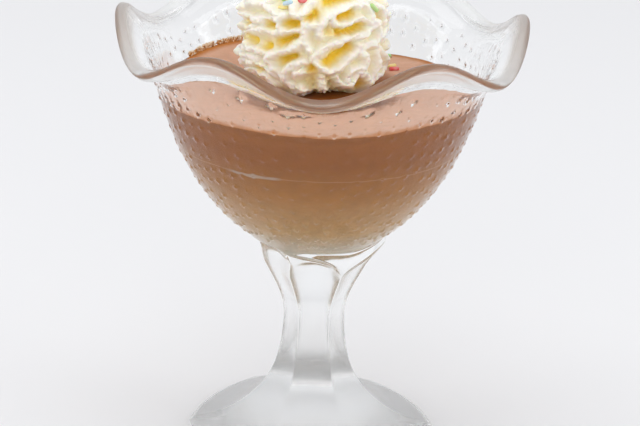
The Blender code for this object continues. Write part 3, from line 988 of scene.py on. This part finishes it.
def sugar(colour):
    """Dyed sugar, slightly glossy, paler where the dye took badly."""
    material = bpy.data.materials.new(colour + "_sugar")
    material.use_nodes = True
    nodes, links = material.node_tree.nodes, material.node_tree.links
    shader = nodes["Principled BSDF"]
    place = nodes.new("ShaderNodeTexCoord")
    dye = nodes.new("ShaderNodeTexNoise")
    dye.inputs["Scale"].default_value = 900.0
    dye.inputs["Detail"].default_value = 3.0
    links.new(place.outputs["Object"], dye.inputs["Vector"])
    tone = nodes.new("ShaderNodeValToRGB")
    strong = STRAND_COLOURS[colour]
    tone.color_ramp.elements[0].position = 0.30
    tone.color_ramp.elements[0].color = (*strong, 1)
    tone.color_ramp.elements[1].position = 0.75
    tone.color_ramp.elements[1].color = (*(0.72 * part + 0.24 for part in strong), 1)
    links.new(dye.outputs["Fac"], tone.inputs["Fac"])
    links.new(tone.outputs["Color"], shader.inputs["Base Color"])
    shader.inputs["Roughness"].default_value = 0.35
    shader.inputs["Subsurface Weight"].default_value = 0.2
    shader.inputs["Subsurface Scale"].default_value = 0.0004
    pits = nodes.new("ShaderNodeBump")
    pits.inputs["Strength"].default_value = 0.2
    pits.inputs["Distance"].default_value = 0.0001
    links.new(dye.outputs["Fac"], pits.inputs["Height"])
    links.new(pits.outputs["Normal"], shader.inputs["Normal"])
    return material


cream_surface = BVHTree.FromPolygons([vertex.co for vertex in cream.data.vertices],
                                     [tuple(face.vertices) for face in cream.data.polygons])
for colour in STRAND_COLOURS:
    strands = make_strands(colour)
    strands.data.materials.append(sugar(colour))
    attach(strands, "root")


# ---------------------------------------------------------------- floor, light and camera
# A plain pale floor under soft studio light, seen from a little above the rim.

FLOOR_RADIUS = 8.0
FLOOR_LEVEL = dish_low.z - 0.0003
VIEW_DISTANCE = 0.750       # from the middle of the rim
VIEW_HEIGHT = math.radians(16.0135)
VIEW_DOWN = math.radians(20.2584)
VIEW_YAW = math.radians(0.0742)
VIEW_ROLL = math.radians(1.7136)
LENS = 142.9
WALL_TONE = (0.76, 0.765, 0.78)
SHEET_TONE = (0.93, 0.94, 0.97)


def make_floor():
    mesh = bpy.data.meshes.new("floor")
    corners = np.arange(64) * (2 * math.pi / 64)
    points = [(FLOOR_RADIUS * math.cos(a), FLOOR_RADIUS * math.sin(a), FLOOR_LEVEL) for a in corners]
    mesh.from_pydata(points, [], [tuple(range(64))])
    floor = bpy.data.objects.new("floor", mesh)
    bpy.context.scene.collection.objects.link(floor)
    material = bpy.data.materials.new("pale_floor")
    material.use_nodes = True
    nodes, links = material.node_tree.nodes, material.node_tree.links
    shader = nodes["Principled BSDF"]
    shader.inputs["Roughness"].default_value = 0.6
    cloth = nodes.new("ShaderNodeTexNoise")
    cloth.inputs["Scale"].default_value = 3.0
    tone = nodes.new("ShaderNodeValToRGB")
    tone.color_ramp.elements[0].color = (0.79, 0.79, 0.80, 1)
    tone.color_ramp.elements[1].color = (0.82, 0.82, 0.83, 1)
    links.new(cloth.outputs["Fac"], tone.inputs["Fac"])
    links.new(tone.outputs["Color"], shader.inputs["Base Color"])
    mesh.materials.append(material)
    return floor


make_floor()


def make_room_light():
    """A studio with a white sheet behind the table, and dimmer walls and ceiling on the other sides."""
    world = bpy.data.worlds.new("studio")
    world.use_nodes = True
    bpy.context.scene.world = world
    nodes, links = world.node_tree.nodes, world.node_tree.links
    place = nodes.new("ShaderNodeTexCoord")
    split = nodes.new("ShaderNodeSeparateXYZ")
    links.new(place.outputs["Generated"], split.inputs["Vector"])
    behind = nodes.new("ShaderNodeMapRange")
    behind.interpolation_type = "SMOOTHSTEP"
    behind.inputs["From Min"].default_value = 0.0
    behind.inputs["From Max"].default_value = 0.75
    links.new(split.outputs["Y"], behind.inputs["Value"])
    low = nodes.new("ShaderNodeMapRange")
    low.interpolation_type = "SMOOTHSTEP"
    low.inputs["From Min"].default_value = 0.75
    low.inputs["From Max"].default_value = 0.20
    links.new(split.outputs["Z"], low.inputs["Value"])
    sheet = nodes.new("ShaderNodeMath")
    sheet.operation = "MULTIPLY"
    links.new(behind.outputs["Result"], sheet.inputs[0])
    links.new(low.outputs["Result"], sheet.inputs[1])
    colour = nodes.new("ShaderNodeValToRGB")
    colour.color_ramp.elements[0].color = (*WALL_TONE, 1)
    colour.color_ramp.elements[1].color = (*SHEET_TONE, 1)
    links.new(sheet.outputs["Value"], colour.inputs["Fac"])
    links.new(colour.outputs["Color"], nodes["Background"].inputs["Color"])


def soft_box(name, place, size, power, colour=(1, 1, 1)):
    lamp = bpy.data.lights.new(name, "AREA")
    lamp.shape = "RECTANGLE"
    lamp.size, lamp.size_y = size
    lamp.energy = power
    lamp.color = colour
    box = bpy.data.objects.new(name, lamp)
    box.location = place
    aim = Vector((0, 0, 0.10)) - Vector(place)
    box.rotation_mode = "QUATERNION"
    box.rotation_quaternion = aim.to_track_quat("-Z", "Y")
    bpy.context.scene.collection.objects.link(box)


def make_camera():
    lens = bpy.data.cameras.new("view")
    lens.lens = LENS
    lens.sensor_width = 36.0
    lens.clip_start = 0.01
    view = bpy.data.objects.new("view", lens)
    bpy.context.scene.collection.objects.link(view)
    ahead = Vector((math.sin(VIEW_YAW) * math.cos(VIEW_DOWN), math.cos(VIEW_YAW) * math.cos(VIEW_DOWN),
                    -math.sin(VIEW_DOWN)))
    level = Vector((math.cos(VIEW_YAW), -math.sin(VIEW_YAW), 0))
    above = level.cross(ahead)
    right = math.cos(VIEW_ROLL) * level + math.sin(VIEW_ROLL) * above
    top = -math.sin(VIEW_ROLL) * level + math.cos(VIEW_ROLL) * above
    turn = Matrix((right, top, -ahead)).transposed()
    place = Vector((0, -VIEW_DISTANCE * math.cos(VIEW_HEIGHT),
                    RIM_HEIGHT + 0.0002 + VIEW_DISTANCE * math.sin(VIEW_HEIGHT)))
    view.matrix_world = Matrix.Translation(place) @ turn.to_4x4()
    bpy.context.scene.camera = view


make_room_light()
soft_box("overhead", (-0.10, 0.05, 1.05), (0.9, 0.9), 2.4)
soft_box("front_fill", (-0.10, -2.0, 1.0), (2.4, 1.4), 8.5)
soft_box("left_side", (-1.3, -0.3, 0.60), (0.9, 0.9), 3.6)
soft_box("right_side", (1.3, -0.3, 0.60), (0.9, 0.9), 4.6)
make_camera()
bpy.context.scene.view_settings.view_transform = "Standard"
bpy.context.scene.cycles.max_bounces = 32
bpy.context.scene.cycles.glossy_bounces = 24
bpy.context.scene.cycles.transmission_bounces = 24
